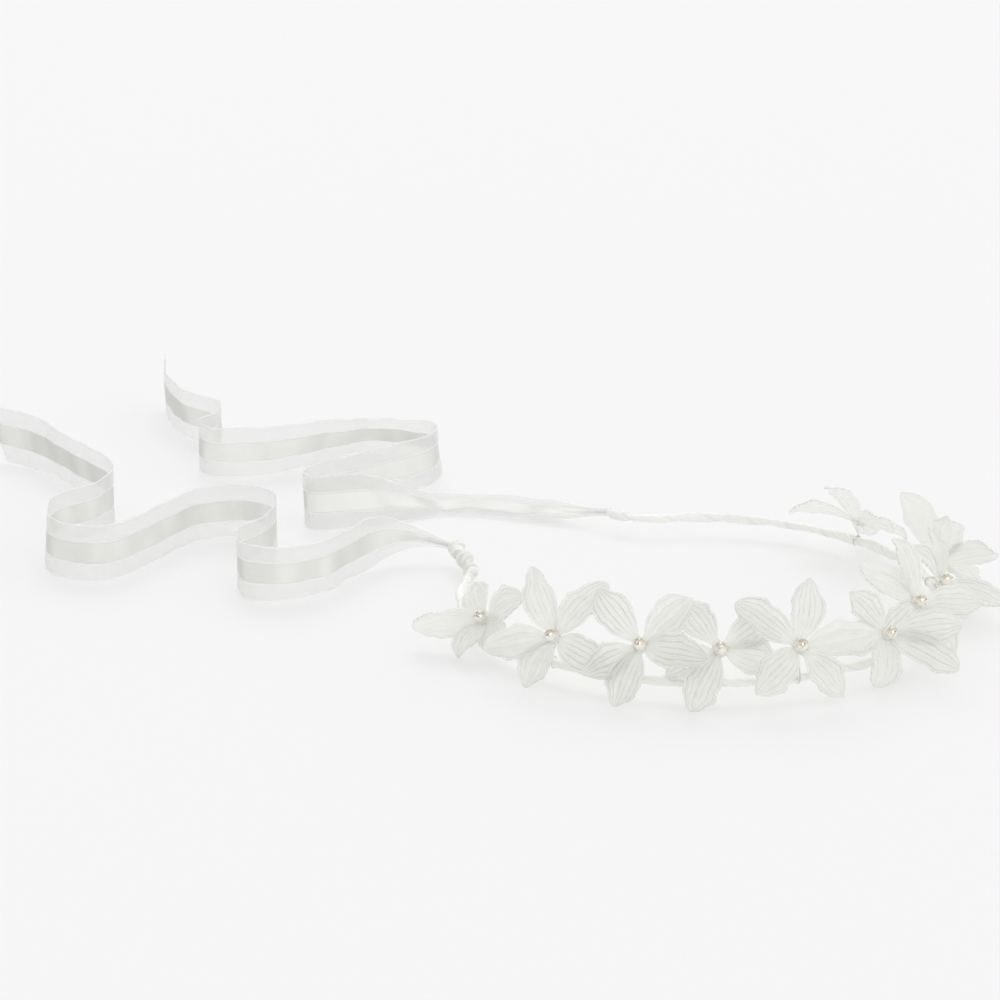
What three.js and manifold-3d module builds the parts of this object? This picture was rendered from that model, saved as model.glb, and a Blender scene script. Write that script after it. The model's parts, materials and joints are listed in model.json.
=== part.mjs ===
// A bridal flower crown. A springy wire band, wrapped in satin ribbon, is open at the back of the head
// and ends in two long tie ribbons. Ten five-petalled fabric flowers are wired to it, each with a pearl.
// Millimetres, +Z up, as the crown lies on a table: +X is the side away from the ties.
import * as THREE from "three";
import { mergeVertices } from "three/addons/utils/BufferGeometryUtils.js";
import Module from "manifold-3d";

const wasm = await Module();
wasm.setup();

// Band: a nearly closed ring whose two ends spring outwards.
const BAND_RADIUS = 88;
const BAND_HEIGHT = 7;
const WIRE_RADIUS = 0.6;
const WRAP_INNER_RADIUS = 1.0;
const WRAP_RADIUS = 1.8;
const RING_FROM = 165;
const RING_TO = 462;
const RING_POINTS = 18;
const FRONT_END = [-91, 51];
const REAR_END = [-30, 93];
const BAND_STEPS = 48;
const BINDING_LENGTH = 7;
const BINDING_RADIUS = 2.9;
const FIT_GAP = 0.3;

// Flowers: five petals joined at a drilled hub, a pearl and the stem wire that carries both.
const PETAL_WIDTH = 12.5;
const PETAL_THICKNESS = 0.45;
const PETAL_CURL = 22;
const PETAL_CUP = 1.1;
const PETAL_BASE_HALF_WIDTH = 1.3;
const PETAL_TIP_HALF_WIDTH = 0.35;
const PETAL_ROOT = 2;
const HUB_RADIUS = 3;
const HUB_THICKNESS = 0.9;
const HUB_HOLE_RADIUS = 0.5;
const HUB_BEHIND_PEARL = 3.1;
const PEARL_RADIUS = 2.1;
const PEARL_BORE_RADIUS = 0.34;
const STEM_RADIUS = 0.25;
const STEM_SIDES = 5;
const COIL_TURNS = 1;
const COIL_PITCH = 1.2;

// Tie ribbons.
const RIBBON_WIDTH = 22;
const RIBBON_THICKNESS = 0.4;
const RIBBON_GATHERED_WIDTH = 3.4;
const RIBBON_FLARE = 42;
const RIBBON_TAIL_CUT = 20;
const RIBBON_STEP = 5;

// Each flower: where its pearl is round the band (degrees, from +X), how far out and how high,
// where it faces (azimuth and elevation), and its petals as [clock angle, lift, length, roll].
const FLOWERS = [
  { at: 208, reach: 91, height: 14, azimuth: 222, elevation: 30,
    petals: [[212, 26, 28, 50], [145, -12, 23], [30, 18, 26], [283, 32, 20], [338, 12, 22]] },
  { at: 232, reach: 91, height: 18, azimuth: 236, elevation: 30,
    petals: [[118, 20, 26], [60, -8, 27], [205, 14, 26], [345, -6, 25], [262, 14, 21]] },
  { at: 253, reach: 89, height: 20, azimuth: 254, elevation: 30,
    petals: [[135, 18, 25], [50, 0, 25], [353, 10, 26], [215, 4, 22], [256, 6, 23]] },
  { at: 271, reach: 89, height: 20, azimuth: 271, elevation: 30,
    petals: [[125, -16, 21], [30, -12, 23], [345, -12, 22], [205, -6, 21], [243, 8, 25]] },
  { at: 289, reach: 91, height: 20, azimuth: 290, elevation: 30,
    petals: [[140, 4, 28], [75, 14, 24], [0, 18, 27], [215, 8, 26], [300, 6, 23]] },
  { at: 312, reach: 93, height: 18, azimuth: 302, elevation: 30,
    petals: [[120, -4, 20], [175, -14, 25], [236, 4, 21], [312, 26, 28], [352, 22, 28]] },
  { at: 329, reach: 88, height: 21, azimuth: 322, elevation: 30,
    petals: [[133, -10, 27], [88, 6, 25], [335, 28, 27], [275, 14, 23], [196, -16, 24]] },
  { at: 352, reach: 90, height: 17, azimuth: 338, elevation: 30,
    petals: [[125, 4, 23], [58, 4, 22], [300, 34, 27], [0, -20, 20], [215, 6, 19]] },
  { at: 9, reach: 93, height: 16, azimuth: 56, elevation: 32,
    petals: [[54, 24, 31, -30], [108, 4, 26], [156, 2, 26], [236, 14, 19], [290, 30, 18]] },
  { at: 43, reach: 91, height: 16, azimuth: 50, elevation: 50,
    petals: [[22, -12, 28], [82, 6, 26], [150, -8, 26], [220, 8, 21], [290, 4, 20]] },
];

// The ties' centre lines on the table: [x, y, lean from upright in degrees, height of the centre].
const FRONT_TIE = [
  [-92, 52.5, 10, 7], [-103, 56, 0, 9], [-115, 53, 0, 11], [-129, 35, 4, 11], [-141, 16, 6, 11],
  [-156, 10, 4, 11], [-169, 14, 0, 11], [-172, 30, 0, 11], [-162, 50, 0, 11], [-161, 72, 0, 11],
  [-174, 84, 0, 11], [-190, 80, 0, 11], [-202, 64, 0, 11], [-212, 45, 0, 11], [-224, 33, -4, 11],
  [-240, 37, -6, 11], [-248, 53, -4, 11], [-246, 71, 0, 11], [-234, 86, 0, 11], [-228, 104, 0, 11],
  [-237, 127, -2, 11], [-251, 146, 0, 11], [-263, 165, -4, 11], [-277, 180, -20, 11], [-297, 194, -26, 11],
];
const REAR_TIE = [
  [-32, 94, -40, 7], [-46, 101, -70, 5], [-62, 111, -82, 2.8], [-80, 118, -86, 2], [-100, 118, -82, 2.6],
  [-118, 107, -46, 8], [-135, 96, -14, 10.8], [-148, 93, 0, 11], [-152, 101, 0, 11], [-145, 113, 3, 11],
  [-130, 124, 6, 11], [-115, 138, 4, 11], [-102, 151, 0, 11], [-99, 166, 8, 11],
  [-108, 182, 26, 10], [-124, 190, 34, 9.4], [-140, 184, 26, 10], [-156, 170, 12, 11],
  [-176, 161, 4, 11], [-194, 161, 0, 11], [-200, 172, 0, 11], [-193, 186, 0, 11], [-194, 199, 0, 11],
  [-208, 213, 0, 11], [-220, 238, 0, 11], [-226, 276, 0, 11],
];

const MATERIALS = {
  petal: new THREE.MeshStandardMaterial({ color: "#eceae3", roughness: 0.85, metalness: 0 }),
  pearl: new THREE.MeshStandardMaterial({ color: "#f0e6cf", roughness: 0.2, metalness: 0.1 }),
  wire: new THREE.MeshStandardMaterial({ color: "#8c8880", roughness: 0.4, metalness: 0.9 }),
  satin: new THREE.MeshStandardMaterial({ color: "#e6e4da", roughness: 0.4, metalness: 0 }),
  ribbon: new THREE.MeshStandardMaterial({ color: "#ebebea", roughness: 0.5, metalness: 0 }),
};

const radians = THREE.MathUtils.degToRad;
const UP = new THREE.Vector3(0, 0, 1);

// ---- Solids -----------------------------------------------------------------------------------

// Only positions, with shared vertices merged.
function bareGeometry(geometry) {
  const bare = geometry.clone();
  bare.deleteAttribute("normal");
  bare.deleteAttribute("uv");
  return mergeVertices(bare, 1e-4);
}

function toSolid(geometry) {
  const merged = bareGeometry(geometry);
  const vertProperties = new Float32Array(merged.attributes.position.array);
  const triVerts = new Uint32Array(merged.index.array);
  return new wasm.Manifold(new wasm.Mesh({ numProp: 3, vertProperties, triVerts }));
}

function toGeometry(solid) {
  const mesh = solid.getMesh();
  const geometry = new THREE.BufferGeometry();
  geometry.setAttribute("position", new THREE.BufferAttribute(mesh.vertProperties, 3));
  geometry.setIndex(new THREE.BufferAttribute(mesh.triVerts, 1));
  geometry.computeVertexNormals();
  return geometry;
}

function piece(name, geometry, material) {
  const mesh = new THREE.Mesh(geometry, material);
  mesh.name = name;
  return mesh;
}

// A regular polygon with flat sides facing along both axes.
function polygon(radius, sides) {
  const points = [];
  for (let i = 0; i < sides; i += 1) {
    const angle = ((i + 0.5) / sides) * 2 * Math.PI;
    points.push(new THREE.Vector2(radius * Math.cos(angle), radius * Math.sin(angle)));
  }
  return points;
}

// A rod, or with an inner radius a tube, along a curve.
function rodAlong(curve, radius, sides, steps, innerRadius = 0) {
  const shape = new THREE.Shape(polygon(radius, sides));
  if (innerRadius > 0) {
    shape.holes.push(new THREE.Path(polygon(innerRadius, sides)));
  }
  return new THREE.ExtrudeGeometry(shape, { steps, extrudePath: curve, bevelEnabled: false });
}

// ---- Band -------------------------------------------------------------------------------------

function bandPoint(degrees) {
  const angle = radians(degrees);
  return new THREE.Vector3(BAND_RADIUS * Math.cos(angle), BAND_RADIUS * Math.sin(angle), BAND_HEIGHT);
}

function bandCurve() {
  const points = [new THREE.Vector3(...FRONT_END, BAND_HEIGHT)];
  for (let i = 0; i < RING_POINTS; i += 1) {
    points.push(bandPoint(RING_FROM + ((RING_TO - RING_FROM) * i) / (RING_POINTS - 1)));
  }
  points.push(new THREE.Vector3(...REAR_END, BAND_HEIGHT));
  return new THREE.CatmullRomCurve3(points, false, "centripetal");
}

// A stretch of the band from one share of its length to another, as a curve of its own.
function bandStretch(band, from, to) {
  const points = [];
  for (let i = 0; i <= 4; i += 1) {
    points.push(band.getPointAt(from + ((to - from) * i) / 4));
  }
  return new THREE.CatmullRomCurve3(points);
}

function bandPieces(group) {
  const band = bandCurve();
  const share = BINDING_LENGTH / band.getLength();
  const bound = WRAP_RADIUS + FIT_GAP;
  const wire = rodAlong(band, WIRE_RADIUS, 6, BAND_STEPS);
  const wrap = rodAlong(band, WRAP_RADIUS, 8, BAND_STEPS, WRAP_INNER_RADIUS);
  group.add(piece("band_core_wire", wire, MATERIALS.wire));
  group.add(piece("band_ribbon_wrap", wrap, MATERIALS.satin));
  const ends = { front_binding: [0.004, 0.004 + share], rear_binding: [0.996 - share, 0.996] };
  for (const [name, [from, to]] of Object.entries(ends)) {
    const binding = rodAlong(bandStretch(band, from, to), BINDING_RADIUS, 8, 4, bound);
    group.add(piece(name, binding, MATERIALS.satin));
  }
}

// ---- Flowers ----------------------------------------------------------------------------------

// The pearl's centre and the flower's axes: out of its face, up and to the right, seen from in front.
export function flowerFrame(flower) {
  const at = radians(flower.at);
  const azimuth = radians(flower.azimuth);
  const elevation = radians(flower.elevation);
  const x = flower.reach * Math.cos(at);
  const y = flower.reach * Math.sin(at);
  const pearl = new THREE.Vector3(x, y, flower.height);
  const level = Math.cos(elevation);
  const out = new THREE.Vector3(level * Math.cos(azimuth), level * Math.sin(azimuth), Math.sin(elevation));
  const up = UP.clone().addScaledVector(out, -out.z).normalize();
  const right = new THREE.Vector3().crossVectors(up, out);
  return { pearl, out, up, right };
}

// Half the width of a petal at a share of its length: a lance shape, widest past the middle.
function petalHalfWidth(share) {
  const belly = (PETAL_WIDTH / 2) * Math.sin(Math.PI * share ** 0.9) ** 0.85;
  const edge = THREE.MathUtils.lerp(PETAL_BASE_HALF_WIDTH, PETAL_TIP_HALF_WIDTH, share);
  return Math.max(belly, edge);
}

// One petal, in the flower's own axes: X right, Y up, Z out of its face. Its midrib is an arc
// that starts above its mean lift and ends below it. It is hollowed across its width, and a
// petal with a roll twists about its midrib between its root and its middle.
function petalGeometry([clock, lift, length, roll = 0]) {
  const geometry = new THREE.BoxGeometry(2, 1, PETAL_THICKNESS, 2, 6, 1);
  const start = radians(lift + PETAL_CURL);
  const turn = -2 * radians(PETAL_CURL);
  const arc = length - PETAL_ROOT;
  const place = geometry.attributes.position;
  for (let i = 0; i < place.count; i += 1) {
    const share = place.getY(i) + 0.5;
    const half = petalHalfWidth(share);
    const angle = start + turn * share;
    const along = PETAL_ROOT + (arc * (Math.sin(angle) - Math.sin(start))) / turn;
    const rise = (-arc * (Math.cos(angle) - Math.cos(start))) / turn;
    const twist = radians(roll) * THREE.MathUtils.smoothstep(share, 0, 0.5);
    const side = place.getX(i) * half;
    const fullness = (2 * half) / PETAL_WIDTH;
    const proud = place.getZ(i) + PETAL_CUP * place.getX(i) ** 2 * fullness;
    const across = side * Math.cos(twist) - proud * Math.sin(twist);
    const above = side * Math.sin(twist) + proud * Math.cos(twist);
    place.setXYZ(i, across, along - above * Math.sin(angle), rise + above * Math.cos(angle));
  }
  return geometry.rotateZ(radians(clock - 90));
}

// Five petals and their hub as one piece of fabric, drilled for the stem wire.
function petalsGeometry(flower) {
  const disc = new THREE.CylinderGeometry(HUB_RADIUS, HUB_RADIUS, HUB_THICKNESS, 10).rotateX(Math.PI / 2);
  const drill = new THREE.CylinderGeometry(HUB_HOLE_RADIUS, HUB_HOLE_RADIUS, 12, 8).rotateX(Math.PI / 2);
  let solid = toSolid(disc);
  for (const petal of flower.petals) {
    solid = solid.add(toSolid(petalGeometry(petal)));
  }
  return toGeometry(solid.subtract(toSolid(drill)));
}

// A drilled bead about the Z axis.
function pearlGeometry() {
  const bore = PEARL_BORE_RADIUS;
  const end = Math.asin(bore / PEARL_RADIUS);
  const profile = [];
  for (let i = 0; i <= 6; i += 1) {
    const angle = -Math.PI / 2 + end + ((Math.PI - 2 * end) * i) / 6;
    profile.push(new THREE.Vector2(PEARL_RADIUS * Math.cos(angle), PEARL_RADIUS * Math.sin(angle)));
  }
  profile.push(profile[0].clone());
  return new THREE.LatheGeometry(profile, 10).rotateX(Math.PI / 2);
}

// The stem wire is coiled round the band, rises to the hub, runs straight through the petals
// and the pearl, and is bent over beyond it.
function stemCurve(flower) {
  const { pearl, out, right } = flowerFrame(flower);
  const centre = bandPoint(flower.at);
  const outward = new THREE.Vector3(centre.x, centre.y, 0).normalize();
  const tangent = new THREE.Vector3().crossVectors(UP, outward);
  const coilRadius = WRAP_RADIUS + FIT_GAP + STEM_RADIUS;
  const points = [];
  for (let i = 0; i <= 8 * COIL_TURNS; i += 1) {
    const angle = (i / 8) * 2 * Math.PI;
    const turned = centre.clone().addScaledVector(outward, coilRadius * Math.cos(angle));
    turned.addScaledVector(UP, coilRadius * Math.sin(angle));
    points.push(turned.addScaledVector(tangent, COIL_PITCH * (i / 8 - COIL_TURNS)));
  }
  const behind = pearl.clone().addScaledVector(out, -HUB_BEHIND_PEARL - 2.4);
  const beyond = pearl.clone().addScaledVector(out, PEARL_RADIUS + 0.5);
  const middle = points[points.length - 1].clone().lerp(behind, 0.5);
  points.push(middle.addScaledVector(outward, 0.6), behind);
  const path = new THREE.CurvePath();
  path.add(new THREE.CatmullRomCurve3(points, false, "centripetal"));
  path.add(new THREE.LineCurve3(behind, beyond));
  const corner = beyond.clone().addScaledVector(out, 0.7);
  const tip = corner.clone().addScaledVector(right, 1.1).addScaledVector(out, -0.2);
  path.add(new THREE.QuadraticBezierCurve3(beyond, corner, tip));
  return path;
}

function flowerPieces(group, flower, number) {
  const name = `flower_${String(number).padStart(2, "0")}`;
  const { pearl, out, up, right } = flowerFrame(flower);
  const turned = new THREE.Group();
  turned.position.copy(pearl);
  turned.quaternion.setFromRotationMatrix(new THREE.Matrix4().makeBasis(right, up, out));
  const petals = piece(`${name}_petals`, petalsGeometry(flower), MATERIALS.petal);
  petals.position.z = -HUB_BEHIND_PEARL;
  turned.add(petals, piece(`${name}_pearl`, pearlGeometry(), MATERIALS.pearl));
  const stem = rodAlong(stemCurve(flower), STEM_RADIUS, STEM_SIDES, 26);
  group.add(turned, piece(`${name}_stem_wire`, stem, MATERIALS.wire));
}

// ---- Tie ribbons ------------------------------------------------------------------------------

// A flat ribbon that stands on edge along its centre line and leans as it goes. It is gathered
// where it leaves the band, flares to its full width, and ends in a slanting cut.
function tieGeometry(line) {
  const curve = new THREE.CatmullRomCurve3(
    line.map(([x, y, , z]) => new THREE.Vector3(x, y, z)), false, "centripetal");
  const leans = new THREE.CatmullRomCurve3(line.map(([, , lean], i) => new THREE.Vector3(i, lean, 0)));
  const length = curve.getLength();
  const steps = Math.round(length / RIBBON_STEP);
  const geometry = new THREE.BoxGeometry(1, RIBBON_THICKNESS, 1, steps, 1, 1);
  const place = geometry.attributes.position;
  for (let i = 0; i < place.count; i += 1) {
    const share = place.getX(i) + 0.5;
    const flare = THREE.MathUtils.smoothstep(share * length, 0, RIBBON_FLARE);
    const width = THREE.MathUtils.lerp(RIBBON_GATHERED_WIDTH, RIBBON_WIDTH, flare);
    const side = place.getZ(i);
    const cut = RIBBON_TAIL_CUT * (0.5 - side) * THREE.MathUtils.smoothstep(share, 0.9, 1);
    const at = Math.min(Math.max(share - cut / length, 0), 1);
    const along = curve.getTangentAt(at);
    const flat = new THREE.Vector3(-along.y, along.x, 0).normalize();
    const lean = radians(leans.getPoint(curve.getUtoTmapping(at)).y);
    const across = UP.clone().multiplyScalar(Math.cos(lean)).addScaledVector(flat, Math.sin(lean));
    const face = new THREE.Vector3().crossVectors(across, along).normalize();
    const point = curve.getPointAt(at).addScaledVector(across, side * width);
    point.addScaledVector(face, place.getY(i));
    place.setXYZ(i, point.x, point.y, Math.max(point.z, 0.1 + place.getY(i)));
  }
  return geometry;
}

// ---- Crown ------------------------------------------------------------------------------------

function crown() {
  const group = new THREE.Group();
  bandPieces(group);
  FLOWERS.forEach((flower, i) => flowerPieces(group, flower, i + 1));
  group.add(piece("front_tie_ribbon", tieGeometry(FRONT_TIE), MATERIALS.ribbon));
  group.add(piece("rear_tie_ribbon", tieGeometry(REAR_TIE), MATERIALS.ribbon));
  group.updateMatrixWorld(true);
  const box = new THREE.Box3().setFromObject(group, true);
  group.position.set(-(box.min.x + box.max.x) / 2, -(box.min.y + box.max.y) / 2, -box.min.z);
  return group;
}

export { FLOWERS, FRONT_END, REAR_END };
export default crown();
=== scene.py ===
import json
import math
import random

import bmesh
import bpy
import numpy as np
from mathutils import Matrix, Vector


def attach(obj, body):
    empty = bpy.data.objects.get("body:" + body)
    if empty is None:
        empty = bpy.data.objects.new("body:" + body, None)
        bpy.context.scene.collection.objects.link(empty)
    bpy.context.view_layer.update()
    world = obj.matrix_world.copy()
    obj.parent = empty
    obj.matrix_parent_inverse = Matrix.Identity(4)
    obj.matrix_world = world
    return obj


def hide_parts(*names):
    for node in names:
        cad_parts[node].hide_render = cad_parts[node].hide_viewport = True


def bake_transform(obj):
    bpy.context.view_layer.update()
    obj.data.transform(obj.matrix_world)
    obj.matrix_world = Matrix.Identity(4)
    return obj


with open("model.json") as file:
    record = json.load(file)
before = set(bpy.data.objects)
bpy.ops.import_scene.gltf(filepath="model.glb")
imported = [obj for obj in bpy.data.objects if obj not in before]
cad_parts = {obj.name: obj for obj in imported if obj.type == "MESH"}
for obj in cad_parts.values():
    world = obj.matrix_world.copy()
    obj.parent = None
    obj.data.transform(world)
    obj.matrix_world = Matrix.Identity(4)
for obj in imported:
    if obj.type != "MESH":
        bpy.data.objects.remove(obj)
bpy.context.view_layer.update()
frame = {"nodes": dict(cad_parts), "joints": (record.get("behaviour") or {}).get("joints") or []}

MM = 0.001
UP = np.array([0.0, 0.0, 1.0])
FULL_TURN = 2 * math.pi
JOINTS = {joint["name"]: joint for joint in frame["joints"]}

# Band
BAND_RADIUS = 88.0
FRONT_END = np.array([-91.0, 51.0, 7.0])    # from the ring's centre on the table
BAND_STEP = 0.5
BAND_SIDES = 40
CORE_CORNERS = 6
WRAP_RADIUS = 1.55
WRAP_LIP = 0.3
WRAP_PITCH = 16.0
LAP_EDGE = 0.85             # where the lip of a lap falls off, as a share of a turn
SEAM_AT = 0.97
SEAM_WIDTH = 0.035
WRAP_CREASES = ((0.07, 5, 0.35), (0.05, 9, -0.2))       # height, number in a turn, drift along the band
PINCH_DEPTH = 0.22
PINCH_PITCH = 19.0
FLATNESS = 0.13
KNOT_START = 8.0
KNOT_PITCH = 13.5           # the ribbon is knotted in lumps near the front end
KNOT_HEIGHT = 1.35
KNOT_SIDE = np.array([0.75, 0.0, 0.25])     # the lumps hang to one side of the wire
KNOTS_FADE = (26, 46)
BINDING_LENGTH = 7.0
BINDING_START = 1.2
BINDING_OVERLAP = 0.4
BINDING_STEP = 0.2
BINDING_TURNS = 3.2
BINDING_CREASE = 0.07
BINDING_FOLDS = {"front_binding": (2.0, 0.7), "rear_binding": (1.75, 0.18)}   # radius and height of a fold

# Flowers
PETAL_WIDTH = 12.5
PETAL_CURL = 22
PETAL_CUP = 1.1
PETAL_BASE_HALF_WIDTH = 1.8
PETAL_TIP_HALF_WIDTH = 0.35
PETAL_ROOT = 2.0
PETAL_ROWS = 72
PETAL_COLUMNS = 69
BELLY_RANGE = (0.95, 1.25)          # above one, a petal is widest nearer to its tip
BLUNTNESS_RANGE = (0.48, 0.8)       # the smaller, the fuller a petal is towards its ends
RUFFLE_RANGE = (0.4, 1.1)
TIP_CURL_RANGE = (-1.6, 2.0)
OUTLINE_WAVES = (0.09, 0.05)        # long and short, as shares of the half width
CLOTH_THICKNESS = 0.16
PLEATS_INSIDE = 5           # between the two borders of a petal
BORDER = 0.8                # where a border starts, as a share of the half width
PLEAT_SHARPNESS = 0.5
PLEAT_HEIGHT = 0.55
WAVE_HEIGHT = 0.3
EDGE_CORD = 0.24
STITCH_PITCH = 1.5
STITCH_DEPTH = 0.3
HUB_BEHIND_PEARL = 3.1
HUB_PROFILE = [(0.42, 0.45), (1.5, 0.5), (2.3, 0.38), (2.7, 0.0), (2.3, -0.38), (1.5, -0.5), (0.42, -0.45)]
HUB_SIDES = 60
HUB_PLEATS = 10
PEARL_RADIUS = 2.1
PEARL_BORE = 0.34
PEARL_ROWS = 28
PEARL_SIDES = 40
STEM_RADIUS = 0.22
STEM_SIDES = 12
STEM_BEHIND_HUB = 2.4       # where the wire starts to run straight
STEM_BEYOND_PEARL = 0.5
STEM_BOW = 0.6
HOOK_CORNER = (0.45, 0.5)   # out of the flower's face, and down to its left
HOOK_TIP = (-1.1, 1.5)
COIL_RADIUS = 2.0
COIL_PITCH = 1.2

# Each flower's petals as [clock angle, lift, length, roll] in degrees and millimetres, with the clock
# angle turning from the flower's right towards its top.
PETALS = [
    [[212, 26, 28, 62], [145, -12, 18, 0], [30, 18, 26, 0], [283, 32, 20, 0], [338, 12, 22, 0]],
    [[118, 20, 26, 0], [60, -8, 27, 0], [205, 14, 26, 0], [345, -6, 25, 0], [262, 14, 21, 0]],
    [[135, 18, 25, 0], [50, 0, 25, 0], [353, 14, 26, 0], [215, 4, 22, 0], [256, 6, 23, 0]],
    [[125, -16, 21, 0], [30, -12, 23, 0], [345, -12, 22, 0], [205, -6, 21, 0], [243, 8, 25, 0]],
    [[140, 4, 28, 0], [75, 14, 24, 0], [0, 18, 27, 0], [215, 8, 26, 0], [300, 6, 23, 0]],
    [[120, -4, 20, 0], [175, -14, 25, 0], [236, 4, 21, 0], [312, 26, 28, 0], [352, 22, 28, 0]],
    [[133, -10, 27, 0], [88, 6, 25, 0], [335, 28, 27, 0], [275, 14, 23, 0], [196, -13, 22.5, 0]],
    [[125, 4, 23, 0], [58, 4, 22, 0], [300, 34, 27, 0], [0, -20, 20, 0], [215, 6, 19, 0]],
    [[54, 24, 31, -30], [108, 4, 26, 0], [156, 2, 26, 0], [236, 14, 19, 0], [290, 30, 18, 0]],
    [[22, -12, 28, 0], [82, 6, 26, 0], [150, -8, 26, 0], [220, 8, 21, 0], [290, 4, 20, 0]],
]

# Tie ribbons
# The second number paints a tie's satin stripe brighter, as painted sheen in its colour.
TIES = {"front": (11, -0.02), "rear": (12, 0.12)}       # random seed, and how bright the stripe's sheen is
RIBBON_CORNERS = 4
RIBBON_HALF_WIDTH = 11.0
RIBBON_STEP = 1.25
RIBBON_COLUMNS = 45
RIBBON_THICKNESS = 0.12
RIBBON_RIPPLES = ((0.35, 5.2, 0.9), (0.22, 2.9, -1.4))  # height, wavelength over a full turn, slant
FLUTTER_HEIGHT = 0.11
FLUTTER_LENGTH = 2.1
SELVEDGE = 0.1
SELVEDGE_WIDTH = 0.45
SEAM_LINE_WIDTH = 0.4
TUCKED_IN = 3.2             # how far a tie's gathered end runs into its binding
SATIN_SHARE = 0.37          # half the satin stripe's width over half the ribbon's
GATHERS = 3
GATHER_DEPTH = 0.3
TABLE_GAP = 0.05            # between the table and the ribbon's rear face
FACE_GAP = 0.1              # between its two faces where it is pressed on the table

# Colours, where a pair is the two ends of a mottle
# Painted shade for the petals' grooves, darker than the pleats' own white.
PETAL_GROOVES_PAINTED_SHADE = ((0.70, 0.702, 0.665), (0.86, 0.862, 0.825))
PETAL_PLEATS = ((0.966, 0.968, 0.942), (0.994, 0.994, 0.973))
PETAL_RIM = (0.62, 0.62, 0.6)
# The satin stripe's colour runs from the dull pair to the bright pair as painted sheen.
STRIPE_PAINTED_DULL = ((0.80, 0.80, 0.76), (0.86, 0.86, 0.82))
STRIPE_PAINTED_BRIGHT = ((0.895, 0.895, 0.865), (0.93, 0.93, 0.905))
# Painted shade for the satin stripe where it slants away from the camera.
STRIPE_PAINTED_SLANT_SHADE = (0.70, 0.70, 0.67)
ORGANZA = (0.872, 0.874, 0.868)
ORGANZA_TINT = (0.985, 0.985, 0.985)
SELVEDGE_THREAD = (0.99, 0.99, 0.98)
WRAP_SATIN = ((0.90, 0.90, 0.865), (0.975, 0.975, 0.95))
# Painted shade laid into the wrap's folds, under its laps' edges, over its knots and between the binding's
# rolls.
WRAP_PAINTED_FOLD_SHADE = (0.66, 0.655, 0.61)
PEARL_IVORY = ((0.93, 0.90, 0.83), (0.97, 0.95, 0.90))
# Painted reflection: the pearl's upper part is painted golden-dark.
PEARL_PAINTED_TOP_REFLECTION = (0.55, 0.47, 0.33)
STEM_METAL = (0.78, 0.74, 0.66)
CORE_METAL = (0.6, 0.6, 0.6)
WHITE = (1.0, 1.0, 1.0)

# Camera and light
CAMERA_FROM_CENTRE = np.array([-73.3, -1039.2, 389.0])
CAMERA_PITCH = 18.4
CAMERA_LENS = 108.1
CAMERA_NEAREST = 0.05
SUN_ELEVATION = 42
SUN_AZIMUTH = 4             # the light comes from behind the crown, a little from the left
SUN_SOFTNESS = 34
SUN_ENERGY = 0.6
TENT_LIGHT = 0.93
TENT_TILT = 0.22            # how much brighter the tent is on the right
HORIZON_LIGHT = 0.22        # what shiny surfaces see at the horizon, over what they see above
SIDE_LIGHT = 0.4
SOFTBOX_DIRECTION = (0.12, -0.78, 0.61)     # seen in shiny surfaces, above the camera
SOFTBOX_EDGE = (0.93, 0.965)                # cosines of the angle from its middle
SOFTBOX_LIGHT = 3.2
BACKDROP = 0.92
FLOOR_SIZE = 12.0           # in metres
FLOOR_COLOUR = (0.48, 0.48, 0.48)
FLOOR_GLOW = 0.411
SHEER_LAYERS = 24           # how many see-through faces a ray may pass


# ---- Geometry helpers ---------------------------------------------------------------------------

def unit(vectors):
    """Vectors scaled to length one along their last axis."""
    vectors = np.asarray(vectors, float)
    return vectors / np.maximum(np.linalg.norm(vectors, axis=-1, keepdims=True), 1e-9)


def smooth_step(value, low, high):
    share = np.clip((np.asarray(value, float) - low) / (high - low), 0, 1)
    return share * share * (3 - 2 * share)


def circle(sides):
    """Evenly spaced angles once round."""
    return np.linspace(0, FULL_TURN, sides, endpoint=False)


def spline(points, places):
    """Points on a Catmull-Rom curve through evenly spaced rows, at fractional row numbers."""
    points = np.asarray(points, float)
    flat = points.reshape(len(points), -1)
    last = len(points) - 1
    low = np.clip(np.floor(places).astype(int), 0, last - 1)
    t = (places - low)[:, None]
    before = flat[np.maximum(low - 1, 0)]
    here = flat[low]
    ahead = flat[low + 1]
    after = flat[np.minimum(low + 2, last)]
    bend = 2 * before - 5 * here + 4 * ahead - after
    twist = 3 * here - before - 3 * ahead + after
    made = 0.5 * (2 * here + (ahead - before) * t + bend * t**2 + twist * t**3)
    return made.reshape((len(places),) + points.shape[1:])


def resample(points, step):
    """A smooth path through points, in near enough equal steps."""
    points = np.asarray(points, float)
    centres = points if points.ndim == 2 else points.mean(axis=1)
    length = np.linalg.norm(np.diff(centres, axis=0), axis=1).sum()
    return spline(points, np.linspace(0, len(points) - 1, max(int(length / step), 8)))


def distance_along(path):
    return np.concatenate([[0], np.cumsum(np.linalg.norm(np.diff(path, axis=0), axis=1))])


def path_frames(path):
    """Two directions across a path at each point, carried along it without twisting."""
    along = unit(np.gradient(path, axis=0))
    side = np.cross(along[0], UP)
    if np.linalg.norm(side) < 0.1:
        side = np.cross(along[0], [1.0, 0.0, 0.0])
    sides = []
    for direction in along:
        side = unit(side - direction * (side @ direction))
        sides.append(side)
    sides = np.array(sides)
    return sides, np.cross(along, sides)


def tube(path, radius, sides):
    """Rings round a path. The radius is one number, or one for each point and side."""
    first, second = path_frames(path)
    angles = circle(sides)
    radius = np.broadcast_to(radius, (len(path), sides))[..., None]
    turn = first[:, None] * np.cos(angles)[None, :, None] + second[:, None] * np.sin(angles)[None, :, None]
    return path[:, None] + turn * radius


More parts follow.
